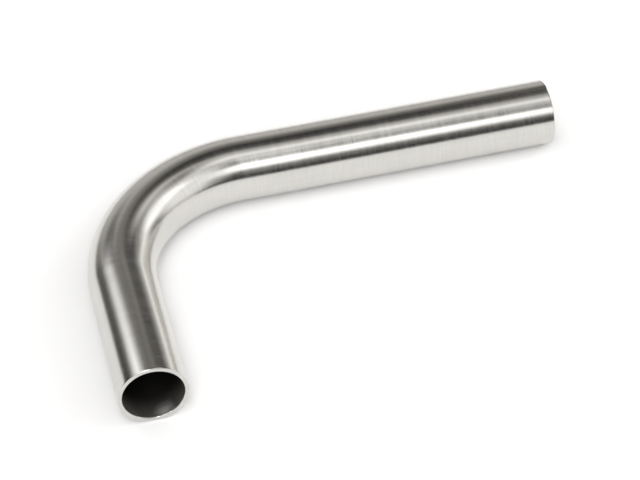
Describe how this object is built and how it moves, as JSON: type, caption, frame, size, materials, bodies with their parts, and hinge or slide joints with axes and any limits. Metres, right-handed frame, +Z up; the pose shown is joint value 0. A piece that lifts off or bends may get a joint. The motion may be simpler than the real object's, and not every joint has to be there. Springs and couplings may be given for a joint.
{
  "type": "pipe bend",
  "caption": "Right-angle bend in round, satin-brushed stainless tube, with a long and a short straight leg and open, square-cut ends, for turning a pipe or rail round a corner.",
  "frame": {"origin": "on the ground, under the middle of the bend's box as it lies on its side", "axes": "+X along the long leg towards its open end, -Y along the short leg towards its open end, +Z up, square to the plane of the bend"},
  "size_m": [0.3212, 0.2062, 0.0424],
  "materials": {
    "brushed_stainless": "satin"
  },
  "bodies": {
    "root": {"pipe_bend": "brushed_stainless"}
  },
  "joints": []
}
